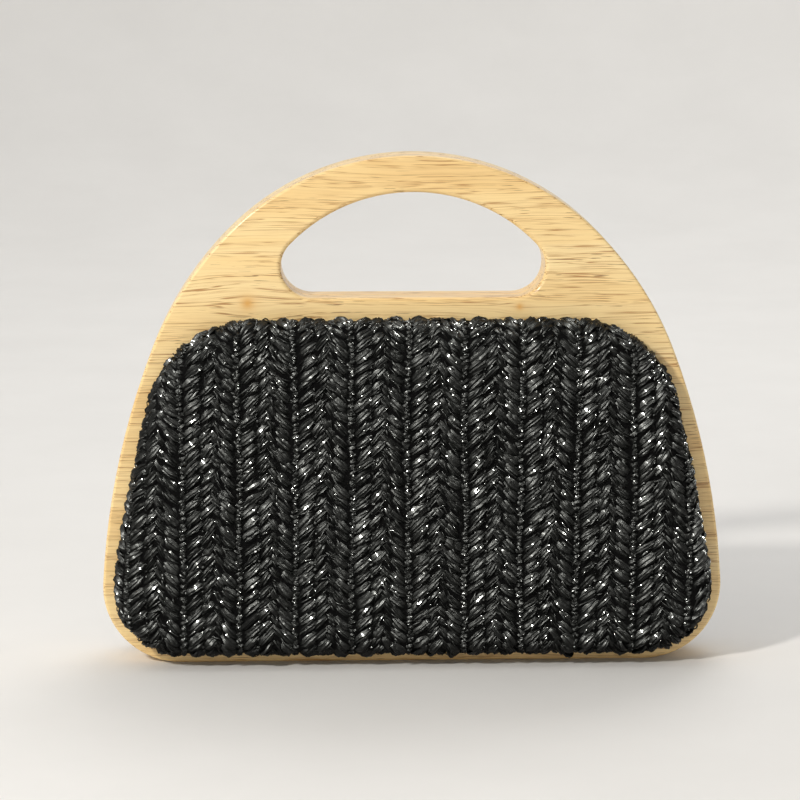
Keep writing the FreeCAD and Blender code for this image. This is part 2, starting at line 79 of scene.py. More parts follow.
def node(tree, kind, inputs=None, **settings):
    """A node with its settings made and its inputs filled, by value or by link."""
    made = tree.nodes.new(kind)
    for key, value in settings.items():
        setattr(made, key, value)
    for key, value in (inputs or {}).items():
        if isinstance(value, bpy.types.NodeSocket):
            tree.links.new(value, made.inputs[key])
        else:
            made.inputs[key].default_value = value
    return made


def ramp(tree, value, stops):
    """A colour ramp over a value; each stop is a place and a grey or a colour."""
    made = node(tree, "ShaderNodeValToRGB", {"Fac": value})
    elements = made.color_ramp.elements
    while len(elements) < len(stops):
        elements.new(0.5)
    for element, (place, colour) in zip(elements, stops):
        element.position = place
        element.color = (*colour, 1) if isinstance(colour, tuple) else (colour, colour, colour, 1)
    return made.outputs["Color"]


def stretched_noise(tree, place, scale, detail, roughness=0.5, distortion=0.0):
    """Noise drawn out along the board; scale is how many blotches fit in a metre each way."""
    drawn = node(tree, "ShaderNodeVectorMath", {0: place, 1: scale}, operation="MULTIPLY")
    return node(
        tree,
        "ShaderNodeTexNoise",
        {
            "Vector": drawn.outputs[0],
            "Scale": 1.0,
            "Detail": detail,
            "Roughness": roughness,
            "Distortion": distortion,
        },
    ).outputs["Fac"]


def maths(tree, operation, first, second=0.0):
    return node(tree, "ShaderNodeMath", {0: first, 1: second}, operation=operation).outputs[0]


def blended(tree, kind, amount, first, second):
    made = node(tree, "ShaderNodeMix", {0: amount}, data_type="RGBA", blend_type=kind)
    for socket, value in ((6, first), (7, second)):
        if isinstance(value, bpy.types.NodeSocket):
            tree.links.new(value, made.inputs[socket])
        else:
            made.inputs[socket].default_value = (*value, 1)
    return made.outputs[2]


def lacquered_wood(name, shift, knots):
    """knots are (across, up, radius) in metres; the grain swerves round each of them."""
    material, tree, shader = new_material(name)
    place = node(tree, "ShaderNodeTexCoord").outputs["Object"]
    moved = node(tree, "ShaderNodeVectorMath", {0: place, 1: shift}, operation="ADD").outputs[0]

    split = node(tree, "ShaderNodeSeparateXYZ", {0: place})
    swerve = maths(tree, "MULTIPLY", stretched_noise(tree, moved, (7, 10, 14), 2), 0.011)
    knot_colour = None
    for across, up, radius in knots:
        dx = maths(tree, "SUBTRACT", split.outputs[0], across)
        dz = maths(tree, "SUBTRACT", split.outputs[2], up)
        wide = maths(tree, "MULTIPLY", maths(tree, "MULTIPLY", dx, dx), 0.16)
        tall = maths(tree, "MULTIPLY", dz, dz)
        away = maths(tree, "ADD", wide, tall)
        pull = maths(tree, "DIVIDE", radius**2, maths(tree, "ADD", away, radius**2))
        drawn_in = maths(tree, "MULTIPLY", maths(tree, "MULTIPLY", dz, -0.75), pull)
        swerve = maths(tree, "ADD", swerve, drawn_in)
        round_ = maths(tree, "ADD", maths(tree, "MULTIPLY", dx, dx), tall)
        core_area = (radius * 0.45) ** 2
        core = maths(tree, "DIVIDE", core_area, maths(tree, "ADD", round_, core_area))
        core = maths(tree, "POWER", core, 1.8)
        knot_colour = core if knot_colour is None else maths(tree, "MAXIMUM", knot_colour, core)
    lift = node(tree, "ShaderNodeCombineXYZ", {2: swerve}).outputs[0]
    grain_place = node(tree, "ShaderNodeVectorMath", {0: moved, 1: lift}, operation="ADD").outputs[0]

    bands = stretched_noise(tree, grain_place, (5, 22, 60), 3, 0.55, 0.3)
    colour = ramp(
        tree,
        bands,
        [
            (0.30, (0.85, 0.580, 0.245)),
            (0.50, (0.93, 0.680, 0.315)),
            (0.72, (0.95, 0.740, 0.385)),
        ],
    )
    fibre = stretched_noise(tree, grain_place, (45, 900, 2100), 3, 0.6)
    fibres = ramp(tree, fibre, [(0.36, 1.0), (0.52, 0.0)])
    colour = blended(tree, "MIX", maths(tree, "MULTIPLY", fibres, 0.25), colour, (0.62, 0.37, 0.15))

    # Growth lines: thin contours of a slow noise, broken up along their length.
    growth = stretched_noise(tree, grain_place, (9, 210, 560), 3, 0.5, 0.2)
    contour = maths(tree, "ABSOLUTE", maths(tree, "SUBTRACT", growth, 0.5))
    second = maths(tree, "ABSOLUTE", maths(tree, "SUBTRACT", growth, 0.6))
    contour = maths(tree, "MINIMUM", contour, second)
    breaks = stretched_noise(tree, grain_place, (45, 160, 640), 2, 0.5)
    lines = ramp(tree, contour, [(0.0, 1.0), (0.008, 0.8), (0.020, 0.0)])
    lines = maths(tree, "MULTIPLY", lines, ramp(tree, breaks, [(0.38, 0.0), (0.52, 1.0)]))
    colour = blended(tree, "MIX", maths(tree, "MULTIPLY", lines, 0.95), colour, (0.42, 0.19, 0.045))

    pores = stretched_noise(tree, grain_place, (70, 600, 1700), 2, 0.5)
    pores = ramp(tree, pores, [(0.65, 0.0), (0.69, 1.0)])
    clusters = stretched_noise(tree, grain_place, (16, 60, 130), 2, 0.5)
    clusters = ramp(tree, clusters, [(0.44, 0.0), (0.58, 1.0)])
    pores = maths(tree, "MULTIPLY", pores, clusters)
    colour = blended(tree, "MIX", maths(tree, "MULTIPLY", pores, 0.9), colour, (0.22, 0.09, 0.02))
    if knot_colour is not None:
        colour = blended(tree, "MIX", maths(tree, "MULTIPLY", knot_colour, 0.9), colour, (0.78, 0.39, 0.08))

    raised = maths(tree, "MULTIPLY", fibre, 0.4)
    height = maths(tree, "SUBTRACT", raised, maths(tree, "MULTIPLY", pores, 0.8))
    bump = node(tree, "ShaderNodeBump", {"Strength": 0.12, "Distance": 0.0003, "Height": height})
    tree.links.new(colour, shader.inputs["Base Color"])
    tree.links.new(bump.outputs[0], shader.inputs["Normal"])
    roughness = ramp(tree, fibre, [(0.3, 0.36), (0.7, 0.46)])
    tree.links.new(roughness, shader.inputs["Roughness"])
    shader.inputs["Coat Weight"].default_value = 0.35
    shader.inputs["Coat Roughness"].default_value = 0.16
    shader.inputs["Subsurface Weight"].default_value = 0.0
    return material


front_knots = [(-0.0737, 0.1645, 0.0075), (0.0475, 0.1625, 0.004)]
rear_knots = [(0.091, 0.152, 0.006)]
boards = (
    ("front", (0.31, 0.0, 0.117), front_knots),
    ("rear", (0.83, 0.21, 0.36), rear_knots),
)
for half, shift, knots in boards:
    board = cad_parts[f"{half}_wood_frame"]
    board.data.materials.clear()
    board.data.materials.append(lacquered_wood(f"lacquered_wood_{half}", shift, knots))


# ---------------------------------------------------------------------------------------------
# Padding: a sheet of wadding glued over the pressed shell, rounded over its edge and a little
# fuller in the middle. Its near-black colour is partly the wadding's own dark colour and partly
# painted shade for the gaps between the straw ribbons, where the same material shows on the backing.
# ---------------------------------------------------------------------------------------------
MM = 0.001
panel_low, panel_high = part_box("front_straw_cover")
face_y = panel_high.y
straw_stand = 1.2 * MM
edge_round = 8.0 * MM
panel_stand = panel_high.y - panel_low.y - straw_stand
side_wall = panel_stand - edge_round
wrap_length = edge_round * math.pi / 2 + side_wall

SHOULDER_RADIUS, SIDE_RADIUS, FOOT_RADIUS = 48.6 * MM, 951.0 * MM, 31.3 * MM
TOP_REACH, FLOOR_REACH = 70.4 * MM, 103.2 * MM
OUTLINE_SPACING = 0.0012


def crossing(first, second, first_distance, second_distance):
    """The point on the left at the given distances from two others."""
    gap = math.dist(first, second)
    along = (first_distance**2 - second_distance**2 + gap**2) / (2 * gap)
    across = math.sqrt(first_distance**2 - along**2)
    ux, uz = (second[0] - first[0]) / gap, (second[1] - first[1]) / gap
    foot_x, foot_z = first[0] + along * ux, first[1] + along * uz
    return min((foot_x + s * across * uz, foot_z - s * across * ux) for s in (-1, 1))


def panel_outline(inset):
    """The panel's outline moved inwards: points and outward normals, once round from the bottom."""
    shoulder = (TOP_REACH, panel_high.z - SHOULDER_RADIUS)
    foot = (FLOOR_REACH, panel_low.z + FOOT_RADIUS)
    side = crossing(foot, shoulder, SIDE_RADIUS - FOOT_RADIUS, SIDE_RADIUS - SHOULDER_RADIUS)
    side_start = math.atan2(foot[1] - side[1], foot[0] - side[0])
    side_end = math.atan2(shoulder[1] - side[1], shoulder[0] - side[0])
    points, normals = [], []

    def add_line(start, end, normal):
        steps = max(2, int(math.dist(start, end) / OUTLINE_SPACING))
        for i in range(steps):
            t = i / steps
            points.append((start[0] + (end[0] - start[0]) * t, start[1] + (end[1] - start[1]) * t))
            normals.append(normal)

    def add_arc(centre, radius, start, end, mirror=1):
        steps = max(2, int(radius * abs(end - start) / OUTLINE_SPACING))
        for i in range(steps):
            a = start + (end - start) * i / steps
            points.append((mirror * (centre[0] + radius * math.cos(a)), centre[1] + radius * math.sin(a)))
            normals.append((mirror * math.cos(a), math.sin(a)))

    arcs = [
        (foot, FOOT_RADIUS - inset, -math.pi / 2, side_start),
        (side, SIDE_RADIUS - inset, side_start, side_end),
        (shoulder, SHOULDER_RADIUS - inset, side_end, math.pi / 2),
    ]
    floor, top = panel_low.z + inset, panel_high.z - inset
    add_line((-FLOOR_REACH, floor), (FLOOR_REACH, floor), (0.0, -1.0))
    for centre, radius, start, end in arcs:
        add_arc(centre, radius, start, end)
    add_line((TOP_REACH, top), (-TOP_REACH, top), (0.0, 1.0))
    for centre, radius, start, end in arcs[::-1]:
        add_arc(centre, radius, end, start, mirror=-1)
    return np.array(points), np.array(normals)


rim_points, rim_normals = panel_outline(straw_stand + edge_round)
panel_middle = np.array([0.0, (panel_low.z + panel_high.z) / 2])
panel_half = np.array([panel_high.x, (panel_high.z - panel_low.z) / 2])
FULLNESS = 1.6 * MM
TOP_SAG = 1.3 * MM
LEAST_STAND = 0.3 * MM


def on_panel(flat, stand, softness=1.0):
    """Lays points of the flat cloth (across, up) over the front panel, standing off its surface.

    A softness of 1 is full in the middle and sags along the top; 0 follows the hard shell.
    """
    where = np.zeros((len(flat), 3))
    for start in range(0, len(flat), 20000):
        part = slice(start, start + 20000)
        p = flat[part]
        nearest = ((p[:, None, :] - rim_points[None]) ** 2).sum(2).argmin(1)
        normal, base = rim_normals[nearest], rim_points[nearest]
        out = ((p - base) * normal).sum(1)
        along = p - base - normal * out[:, None]
        over = np.clip(out, 0, wrap_length)
        turn = np.minimum(over / edge_round, math.pi / 2)
        down = np.maximum(over - edge_round * math.pi / 2, 0)
        bulge = (p - panel_middle) / panel_half
        full = softness * FULLNESS * np.clip((1 - bulge[:, 0] ** 2) * (1 - bulge[:, 1] ** 2), 0, 1)
        inside = out <= 0
        side_out = np.where(inside, 0, edge_round * np.sin(turn))
        plane = np.where(inside[:, None], p, base + along + normal * side_out[:, None])
        depth = panel_stand - np.where(inside, 0, edge_round * (1 - np.cos(turn)) + down) + full
        s = stand[part] * np.where(inside, 1, 1 + 0.1 * np.sin(turn))
        sag = softness * TOP_SAG * np.clip(normal[:, 1], 0, 1) ** 2
        plane = plane + normal * (np.where(inside, 0, np.sin(turn)) * (s - sag))[:, None]
        depth = depth + np.where(inside, 1, np.cos(turn)) * s
        where[part, 0], where[part, 2] = plane[:, 0], plane[:, 1]
        where[part, 1] = face_y - np.maximum(depth, LEAST_STAND)
    return where


def mesh_piece(name, points, *faces):
    """A smooth mesh from points and one or more arrays of faces, with a face to each row."""
    mesh = bpy.data.meshes.new(name)
    sizes = np.concatenate([np.full(len(rows), len(rows[0])) for rows in faces])
    corners = np.concatenate([np.asarray(rows).ravel() for rows in faces])
    mesh.vertices.add(len(points))
    mesh.vertices.foreach_set("co", np.asarray(points, np.float32).ravel())
    mesh.loops.add(len(corners))
    mesh.loops.foreach_set("vertex_index", corners.astype(np.int32))
    mesh.polygons.add(len(sizes))
    mesh.polygons.foreach_set("loop_start", (np.cumsum(sizes) - sizes).astype(np.int32))
    mesh.update(calc_edges=True)
    mesh.shade_smooth()
    piece = bpy.data.objects.new(name, mesh)
    bpy.context.scene.collection.objects.link(piece)
    return piece


def panel_layer(name, stand, thickness, inner_softness=1.0):
    """One layer over the panel, from the wood up its side and over its face, with the given thickness."""
    count = len(rim_points)
    rings = []
    for layer_stand, softness in ((stand, 1.0), (stand - thickness, inner_softness)):
        layer = [rim_points + rim_normals * over for over in np.linspace(wrap_length, 0, 14)]
        from_middle = rim_points - panel_middle
        layer += [panel_middle + from_middle * share for share in np.linspace(0.96, 0.02, 25)]
        rings.append([on_panel(flat, np.full(count, layer_stand), softness) for flat in layer])
    outer, inner = rings
    index = np.arange(2 * len(outer) * count).reshape(2 * len(outer), count)
    beside = np.roll(index, -1, axis=1)
    sides = np.stack([index[:-1], beside[:-1], beside[1:], index[1:]], axis=-1).reshape(-1, 4)
    return mesh_piece(name, np.concatenate([*inner[::-1], *outer]), sides, index[-1:], index[:1, ::-1])


def wadding_with_painted_shade(name):
    material, tree, shader = new_material(name)
    place = node(tree, "ShaderNodeTexCoord").outputs["Object"]
    fuzz = stretched_noise(tree, place, (900, 900, 900), 4, 0.7)
    # Near black: the wadding's own dark colour together with painted shade for where it shows between the
    # straw ribbons.
    tree.links.new(ramp(tree, fuzz, [(0.3, 0.001), (0.7, 0.004)]), shader.inputs["Base Color"])
    bump = node(tree, "ShaderNodeBump", {"Strength": 0.5, "Distance": 0.0006, "Height": fuzz})
    tree.links.new(bump.outputs[0], shader.inputs["Normal"])
    tree.links.new(ramp(tree, fuzz, [(0.3, 0.8), (0.7, 0.95)]), shader.inputs["Roughness"])
    shader.inputs["Specular IOR Level"].default_value = 0.1
    return material


turn_matrix = Matrix.Rotation(math.pi, 4, "Z")
wadding = wadding_with_painted_shade("wadding_with_painted_shade")
shell_low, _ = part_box("front_shell")
PADDING_GAP = 0.4 * MM
PADDING = shell_low.y - panel_low.y - straw_stand - PADDING_GAP
for half in ("front", "rear"):
    dome = panel_layer(f"{half}_padding_sheet", -PADDING_GAP, PADDING, inner_softness=0.0)
    if half == "rear":
        dome.data.transform(turn_matrix)
    dome.data.materials.append(wadding)
    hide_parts(f"{half}_padding")
    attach(dome, f"{half}_half")


# ---------------------------------------------------------------------------------------------
# Straw cover: flat plaits of crinkled black paper straw, laced side by side in upright rows and
# pulled over the padding. Each plait shows two rising strands, then two falling ones.
# ---------------------------------------------------------------------------------------------
PLAIT = 25.15 * MM
FIRST_SEAM = -2.2 * MM
STEP = 5.53 * MM
PLUMPNESS, RIBBON_BODY = 1.5 * MM, 0.3 * MM
UNDERSIDE = np.array([0.6, -0.6])
BACKING_STAND, BACKING_THICKNESS = 0.1 * MM, 0.45 * MM


def folded_ribbons(lie, rng, across, rings, crease):
    """Ribbons of folded straw in the flat cloth, each arched over and dipping under at both ends.

    lie holds an array each of starts, ends, widths, stands, sinks, bows and rolls. The answer is the
    points' places in the flat cloth, their heights, the faces and the place of each on its ribbon.
    """
    starts, ends, widths, stands, sinks, bows, rolls = lie
    count = len(starts)
    t = np.linspace(0, 1, rings)
    run = ends - starts
    length = np.linalg.norm(run, axis=1)
    ahead = run / length[:, None]
    aside = np.stack([-ahead[:, 1], ahead[:, 0]], axis=1)
    over = np.sin(math.pi * t)
    middle = starts[:, None] + run[:, None] * t[None, :, None]
    middle = middle + (aside[:, None] * (bows[:, None] * over)[..., None])
    half_width = widths[:, None] / 2 * (0.45 + 0.55 * over**0.5) * rng.normal(1, 0.05, (count, rings))
    buckle = rng.normal(0, 0.035, (count, rings)) * widths[:, None]
    rise = stands[:, None] * over**0.75 - sinks[:, None] * (1 - over) ** 2 + buckle

    # Creases run the length of a ribbon, wander a little and change height from end to end.
    u = np.linspace(-1, 1, across)
    room = 1 / (across - 1)
    wander = rng.uniform(-1, 1, (count, 1, across)) + rng.normal(0, 0.35, (count, rings, across))
    place = u + wander * room * 0.55 * (np.abs(u) < 0.99)
    zigzag = np.where(np.arange(across) % 2, 1.0, -1.0) * rng.uniform(0.1, 1, (2, count, across))
    zigzag = zigzag * rng.choice([-1, 1], (count, 1))
    fold = zigzag[0][:, None] * (1 - t)[None, :, None] + zigzag[1][:, None] * t[None, :, None]
    fold = fold + rng.normal(0, 0.22, (count, rings, across))
    arch = np.sqrt(np.clip(1 - (0.96 * u) ** 2, 0, 1))
    plump = np.minimum(widths * 0.36, PLUMPNESS)[:, None, None]
    top = rise[..., None] + plump * (arch - 1) + crease * fold * (0.35 + 0.65 * arch)
    top = top + rolls[:, None, None] * place * half_width[..., None]
    below = np.repeat((rise - plump[:, :, 0] - RIBBON_BODY)[..., None], len(UNDERSIDE), axis=2)
    below = below + rolls[:, None, None] * UNDERSIDE * half_width[..., None]

    around = across + len(UNDERSIDE)
    beneath = np.broadcast_to(UNDERSIDE, (count, rings, len(UNDERSIDE)))
    spread = np.concatenate([place, beneath], axis=2)
    spread = spread * half_width[..., None]
    flat = middle[:, :, None] + aside[:, None, None] * spread[..., None]
    up = np.concatenate([top, below], axis=2)
    index = np.arange(count * rings * around).reshape(count, rings, around)
    near, far = index[:, :-1], index[:, 1:]
    quads = np.stack([near, far, np.roll(far, -1, axis=2), np.roll(near, -1, axis=2)], axis=-1)
    faces = (quads.reshape(-1, 4), index[:, 0], index[:, -1, ::-1])
    apart = rng.random((count, 1, 1)) * 7
    along = np.broadcast_to((t * length[:, None])[..., None], up.shape) + apart
    on_ribbon = np.stack([along, spread + apart], axis=-1).reshape(-1, 2)
    return flat.reshape(-1, 2), up.reshape(-1), faces, on_ribbon


def on_cloth(flat, margin):
    """Which points of the flat cloth lie on the panel, its edge and side included."""
    nearest = ((flat[:, None] - rim_points[None]) ** 2).sum(2).argmin(1)
    return ((flat - rim_points[nearest]) * rim_normals[nearest]).sum(1) < wrap_length - margin


cloth_reach = panel_high.x + wrap_length
cloth_floor, cloth_top = panel_low.z - wrap_length, panel_high.z + wrap_length
first_plait = math.floor((-cloth_reach - FIRST_SEAM) / PLAIT)
last_plait = math.ceil((cloth_reach - FIRST_SEAM) / PLAIT)
plaits = range(first_plait, last_plait + 1)


def lay(rng, columns, step, jitter):
    """Lays ribbons step by step up every plait, for each column of strands that a plait holds.

    A column is its start and end across the plait, climb, width, stand, sink, shift along the plait,
    bow and roll. All are millimetres, but for the shift, in steps, and the roll, a slope.
    """
    lines = []
    for plait in plaits:
        sway_phase = rng.uniform(0, 2 * math.pi, 2)
        slide = rng.uniform(0, 1)
        for start, end, climb, width, stand, sink, shift, bow, roll in columns:
            for z in np.arange(cloth_floor + (shift + slide) * step, cloth_top, step):
                z = z + rng.normal(0, 0.06) * step
                sway = 0.5 * math.sin(z * 42 + sway_phase[0]) + 0.35 * math.sin(z * 95 + sway_phase[1])
                x = FIRST_SEAM + plait * PLAIT + sway * MM
                shake = rng.normal(0, jitter, 4)
                lines.append(
                    (
                        x + (start + shake[0]) * MM,
                        z + shake[1] * MM,
                        x + (end + shake[2]) * MM,
                        z + (climb + shake[3]) * MM,
                        width * MM * rng.uniform(0.8, 1.3),
                        stand * MM * rng.uniform(0.7, 1.2),
                        sink * MM,
                        bow * MM * rng.uniform(-0.2, 1.6),
                        roll + rng.normal(0, 0.34),
                    )
                )
    lines = np.array(lines)
    lines = lines[on_cloth((lines[:, 0:2] + lines[:, 2:4]) / 2, 1.0 * MM)]
    return (lines[:, 0:2], lines[:, 2:4], *lines[:, 4:].T)


def straw_piece(name, lie, rng, across, rings, crease):
    """One mesh of ribbons over the front panel, with its creases kept sharp."""
    flat, up, faces, on_ribbon = folded_ribbons(lie, rng, across, rings, crease)
    piece = mesh_piece(name, on_panel(flat, up), *faces)
    mesh = piece.data
    around = across + len(UNDERSIDE)
    ends = np.zeros(len(mesh.edges) * 2, np.int32)
    mesh.edges.foreach_get("vertices", ends)
    ends = ends.reshape(-1, 2) % around
    sharp = mesh.attributes.new("sharp_edge", "BOOLEAN", "EDGE")
    sharp.data.foreach_set("value", ends[:, 0] == ends[:, 1])
    corners = np.zeros(len(mesh.loops), np.int32)
    mesh.loops.foreach_get("vertex_index", corners)
    layer = mesh.uv_layers.new(name="ribbon")
    layer.data.foreach_set("uv", on_ribbon[corners].astype(np.float32).ravel())
    return piece


def black_straw(name):
    """Glossy paper straw: fine ribs along each ribbon, which catch the light unevenly."""
    material, tree, shader = new_material(name)
    ribbon = node(tree, "ShaderNodeUVMap", uv_map="ribbon").outputs[0]
    ribs = stretched_noise(tree, ribbon, (190, 1300, 1), 4, 0.7)
    kinks = stretched_noise(tree, ribbon, (420, 1100, 1), 3, 0.6)
    shade = ramp(tree, ribs, [(0.3, (0.0008, 0.001, 0.0008)), (0.7, (0.004, 0.0045, 0.0037))])
    height = maths(tree, "ADD", ribs, maths(tree, "MULTIPLY", kinks, 0.8))
    bump = node(tree, "ShaderNodeBump", {"Strength": 0.7, "Distance": 0.0004, "Height": height})
    tree.links.new(shade, shader.inputs["Base Color"])
    tree.links.new(bump.outputs[0], shader.inputs["Normal"])
    tree.links.new(ramp(tree, kinks, [(0.38, 0.34), (0.62, 0.56)]), shader.inputs["Roughness"])
    shader.inputs["Specular IOR Level"].default_value = 0.12
    shader.inputs["Coat Weight"].default_value = 0.12
    shader.inputs["Coat Roughness"].default_value = 0.11
    return material


# start, end, climb, width, stand, sink, shift, bow, roll
RISING = [
    (0.4, 9.4, 7.6, 4.1, 1.6, 1.3, 0.00, 0.35, 0.10),
    (7.7, 14.6, 7.8, 3.8, 1.3, 1.3, 0.45, 0.25, 0.10),
]
FALLING = [
    (12.6, 18.0, -7.0, 3.7, 0.8, 1.3, 0.10, -0.15, -0.10),
    (16.0, 24.2, -7.4, 4.1, 1.7, 1.6, 0.62, -0.30, -0.10),
]
LACING = [
    (-1.9, 1.4, 2.1, 1.5, 1.1, 0.9, 0.0, 0.5, 0.0),
    (-2.4, 0.9, -1.8, 1.3, 0.9, 0.9, 0.5, -0.5, 0.0),
    (-1.0, 1.2, 0.4, 1.1, 1.3, 0.8, 0.3, 0.8, 0.0),
    (-1.6, 0.6, 3.0, 1.6, 0.5, 0.8, 0.8, 0.0, 0.0),
    (7.3, 9.3, 0.8, 1.0, 1.2, 0.8, 0.3, 0.3, 0.0),
]
SLIVERS = [
    (2.0, 7.0, 5.0, 0.5, 1.9, 0.3, 0.25, 0.3, 0.0),
    (9.2, 13.2, 4.6, 0.5, 1.6, 0.3, 0.7, 0.2, 0.0),
    (14.0, 17.0, -4.4, 0.5, 1.2, 0.3, 0.4, -0.2, 0.0),
    (17.6, 22.2, -4.8, 0.5, 2.0, 0.3, 0.9, -0.3, 0.0),
]
# name, columns, step, jitter, points across, rings, crease
WEAVE = [
    ("rising", RISING, STEP, 0.60, 7, 10, 0.50 * MM),
    ("falling", FALLING, STEP, 0.60, 7, 10, 0.50 * MM),
    ("lacing", LACING, STEP / 2, 0.45, 4, 6, 0.22 * MM),
    ("slivers", SLIVERS, STEP * 0.6, 1.0, 3, 5, 0.08 * MM),
]


def length_and_area(outline):
    """The way round a closed outline and the area it holds."""
    after = np.roll(outline, -1, axis=0)
    turned = outline[:, 0] * after[:, 1] - outline[:, 1] * after[:, 0]
    return float(np.linalg.norm(after - outline, axis=1).sum()), abs(float(turned.sum())) / 2


straw = black_straw("black_straw")
strands = []
for half, seed in (("front", 11), ("rear", 29)):
    rng = np.random.default_rng(seed)
    backing = panel_layer(f"{half}_straw_backing", BACKING_STAND, BACKING_THICKNESS)
    backing.data.uv_layers.new(name="ribbon")
    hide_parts(f"{half}_straw_cover")
    layers = []
    for kind, columns, step, jitter, across, rings, crease in WEAVE:
        lie = lay(rng, columns, step, jitter)
        layers.append(straw_piece(f"{half}_straw_{kind}", lie, rng, across, rings, crease))
    strands += layers
    for piece in [backing, *layers]:
        if half == "rear":
            piece.data.transform(turn_matrix)
        # The backing shows in the gaps between the ribbons; its near-black colour is painted shade there as
        # well as dark cloth.
        piece.data.materials.append(wadding if piece == backing else straw)
        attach(piece, f"{half}_half")


# ---------------------------------------------------------------------------------------------
# Shells: each half is stiffened by a dished shell of pressed brown fibre board, glued to the back
# of the wood. It lies between the padding and the lining, which hide it.
# ---------------------------------------------------------------------------------------------
def pressed_board(name):
    material, tree, shader = new_material(name)
    place = node(tree, "ShaderNodeTexCoord").outputs["Object"]
    pulp = stretched_noise(tree, place, (260, 260, 260), 5, 0.7)
    flecks = stretched_noise(tree, place, (1500, 1500, 1500), 2, 0.5)
    colour = ramp(tree, pulp, [(0.3, (0.20, 0.165, 0.12)), (0.7, (0.30, 0.25, 0.19))])
    dark = ramp(tree, flecks, [(0.28, 1.0), (0.36, 0.0)])
    colour = blended(tree, "MIX", maths(tree, "MULTIPLY", dark, 0.5), colour, (0.09, 0.07, 0.05))
    bump = node(tree, "ShaderNodeBump", {"Strength": 0.4, "Distance": 0.0003, "Height": pulp})
    tree.links.new(colour, shader.inputs["Base Color"])
    tree.links.new(bump.outputs[0], shader.inputs["Normal"])
    tree.links.new(ramp(tree, pulp, [(0.3, 0.75), (0.7, 0.9)]), shader.inputs["Roughness"])
    return material


fibre_board = pressed_board("pressed_fibre_board")
for half in ("front", "rear"):
    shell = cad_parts[f"{half}_shell"]
    shell.data.materials.clear()
    shell.data.materials.append(fibre_board)


# ---------------------------------------------------------------------------------------------
# Linings: plain-woven beige cotton, cut with turned edges and glued into each half, where it dips
# into the shell. A hem is turned under along the mouth and top-stitched.
# ---------------------------------------------------------------------------------------------
lining_low, lining_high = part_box("front_lining")
LINING_INSET = panel_high.x - lining_high.x
LINING_FOLD = 2.5 * MM
CLOTH = 0.5 * MM
HEM_DEPTH, HEM_STEP = 5.0 * MM, 0.45 * MM
LINING_SLACK = 0.55 * MM
FLOOR_LIFT, WRINKLE_DEPTH = 0.9 * MM, 0.9 * MM
lining_mouth, lining_floor = lining_high.y, lining_low.y


def thickened(piece):
    """Gives a single layer of cloth its thickness, on the side away from its normals."""
    solid = piece.modifiers.new("thickness", "SOLIDIFY")
    solid.thickness = CLOTH
    solid.offset = -1
    piece.data = bpy.data.meshes.new_from_object(piece.evaluated_get(bpy.context.evaluated_depsgraph_get()))
    piece.modifiers.clear()
    piece.data.shade_smooth()
    return piece


def soft_creases(places, rng, count, region, length, depth):
    """The height of a few long shallow wrinkles at each place; region is the half-size they lie in."""
    height = np.zeros(len(places))
    for _ in range(count):
        centre = rng.uniform(-1, 1, 2) * region
        angle = math.atan2(centre[1], centre[0]) + rng.normal(0, 0.5)
        away = places - centre
        along = (away * (math.cos(angle), math.sin(angle))).sum(1)
        aside = (away * (-math.sin(angle), math.cos(angle))).sum(1)
        long, wide = length * rng.uniform(0.5, 1.4), length * rng.uniform(0.07, 0.16)
        bend = aside - 0.12 * along**2 / long
        height += depth * rng.uniform(0.4, 1) * np.exp(-((along / long) ** 2) - (bend / wide) ** 2)
    return height


def uv_from(piece, places):
    """Stores each point's place on the flat cloth as a texture map."""
    corners = np.zeros(len(piece.data.loops), np.int32)
    piece.data.loops.foreach_get("vertex_index", corners)
    layer = piece.data.uv_layers.new(name="cloth")
    layer.data.foreach_set("uv", places[corners].astype(np.float32).ravel())


def resampled(outline, shares):
    """Points at the given shares of the way round a closed outline."""
    closed = np.concatenate([outline, outline[:1]])
    travelled = np.concatenate([[0], np.cumsum(np.linalg.norm(np.diff(closed, axis=0), axis=1))])
    at = shares * travelled[-1]
    return np.stack([np.interp(at, travelled, closed[:, k]) for k in (0, 1)], axis=1)


